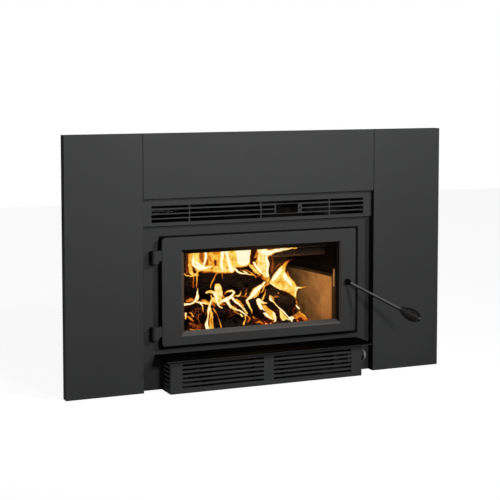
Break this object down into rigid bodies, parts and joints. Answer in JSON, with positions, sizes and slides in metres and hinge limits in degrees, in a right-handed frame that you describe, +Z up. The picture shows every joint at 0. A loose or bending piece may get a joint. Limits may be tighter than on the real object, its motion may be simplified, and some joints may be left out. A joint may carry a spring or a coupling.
{
  "type": "fireplace insert",
  "caption": "Wood-burning fireplace insert with a wide flat surround, glazed door with a coil-grip handle, hot-air grille and a blower under an ash shelf.",
  "frame": {"origin": "on the hearth under the blower housing, in the middle of the width, level with the front face of the surround panels", "axes": "+X to the right across the front, +Y into the fireplace, +Z up"},
  "size_m": [1.118, 0.6104, 0.691],
  "materials": {
    "panel_paint": "matt charcoal powder paint",
    "stove_paint": "matt high-temperature black-grey paint",
    "casing_steel": "galvanised sheet",
    "firebox_steel": "bare plate, sooted",
    "firebrick": "dry pressed firebrick",
    "tube_steel": "heat-stained stainless",
    "board": "vermiculite board",
    "blanket": "ceramic fibre",
    "glass": "clear ceramic glass",
    "rope": "graphite rope",
    "gasket": "glass-fibre tape",
    "black_oxide": "blackened fasteners and pins",
    "zinc": "zinc-plated",
    "handle_black": "satin black",
    "motor_metal": "satin enamel",
    "wheel_metal": "black-coated blower sheet",
    "knob_plastic": "moulded, heat-resistant",
    "control_plastic": "moulded",
    "gland_rubber": "grommet",
    "bark": "charred log",
    "ember": "ash and glowing charcoal"
  },
  "bodies": {
    "stove": {"surround_panel_left": "panel_paint", "surround_panel_right": "panel_paint", "surround_panel_top": "panel_paint", "surround_screws": "zinc", "case_screws": "black_oxide", "thermal_switch": "control_plastic", "casing_base": "casing_steel", "casing_side_left": "casing_steel", "casing_side_right": "casing_steel", "casing_back": "casing_steel", "casing_top": "casing_steel", "cord_gland": "gland_rubber", "front_plate": "stove_paint", "firebox_floor": "firebox_steel", "firebox_roof": "firebox_steel", "firebox_sides": "firebox_steel", "firebox_back": "firebox_steel", "side_bricks_left": "firebrick", "side_bricks_right": "firebrick", "back_bricks": "firebrick", "floor_bricks": "firebrick", "flue_collar": "firebox_steel", "air_manifold_left": "firebox_steel", "air_manifold_right": "firebox_steel", "secondary_air_tubes": "tube_steel", "baffle_boards": "board", "insulation_blanket": "blanket", "support_skids": "casing_steel", "upper_grille": "panel_paint", "air_inlet_box": "firebox_steel", "hinge_lugs": "stove_paint", "hinge_pins": "black_oxide", "door_catch": "tube_steel", "ash_shelf": "stove_paint", "blower_housing": "stove_paint", "blower_louvre": "stove_paint", "blower_motor": "motor_metal", "motor_bracket": "wheel_metal", "blower_scrolls": "wheel_metal", "speed_control": "control_plastic", "logs": "bark", "ember_bed": "ember"},
    "door": {"door_frame": "stove_paint", "door_glass": "glass", "glass_gasket": "gasket", "glass_clips": "zinc", "glass_clip_screws": "zinc", "door_rope_seal": "rope", "hinge_knuckles": "stove_paint", "latch_bush": "black_oxide"},
    "handle": {"latch_shaft": "black_oxide", "latch_cam": "tube_steel", "latch_ring": "zinc", "handle_rod": "handle_black", "handle_coil_grip": "handle_black"},
    "air_control": {"air_slide_plate": "black_oxide", "air_control_rod": "black_oxide"},
    "speed_knob": {"speed_knob": "knob_plastic"},
    "rotor": {"blower_wheels": "wheel_metal", "rotor_shaft": "zinc"}
  },
  "joints": [
    {"name": "door_hinge", "type": "hinge", "parent": "stove", "child": "door", "pos_m": [-0.309, 0.01, 0.26], "axis": [0, 0, -1], "range_deg": [0, 115]},
    {"name": "handle_turn", "type": "hinge", "parent": "door", "child": "handle", "pos_m": [0.262, 0.01, 0.262], "axis": [0, 1, 0], "range_deg": [0, 60]},
    {"name": "air_slide", "type": "slide", "parent": "stove", "child": "air_control", "axis": [1, 0, 0], "range_m": [0, 0.05]},
    {"name": "fan_speed", "type": "hinge", "parent": "stove", "child": "speed_knob", "pos_m": [0.286, -0.017, 0.053], "axis": [1, 0, 0], "range_deg": [0, 270]},
    {"name": "rotor_spin", "type": "hinge", "parent": "stove", "child": "rotor", "pos_m": [0, -0.006, 0.046], "axis": [1, 0, 0], "continuous": true}
  ]
}
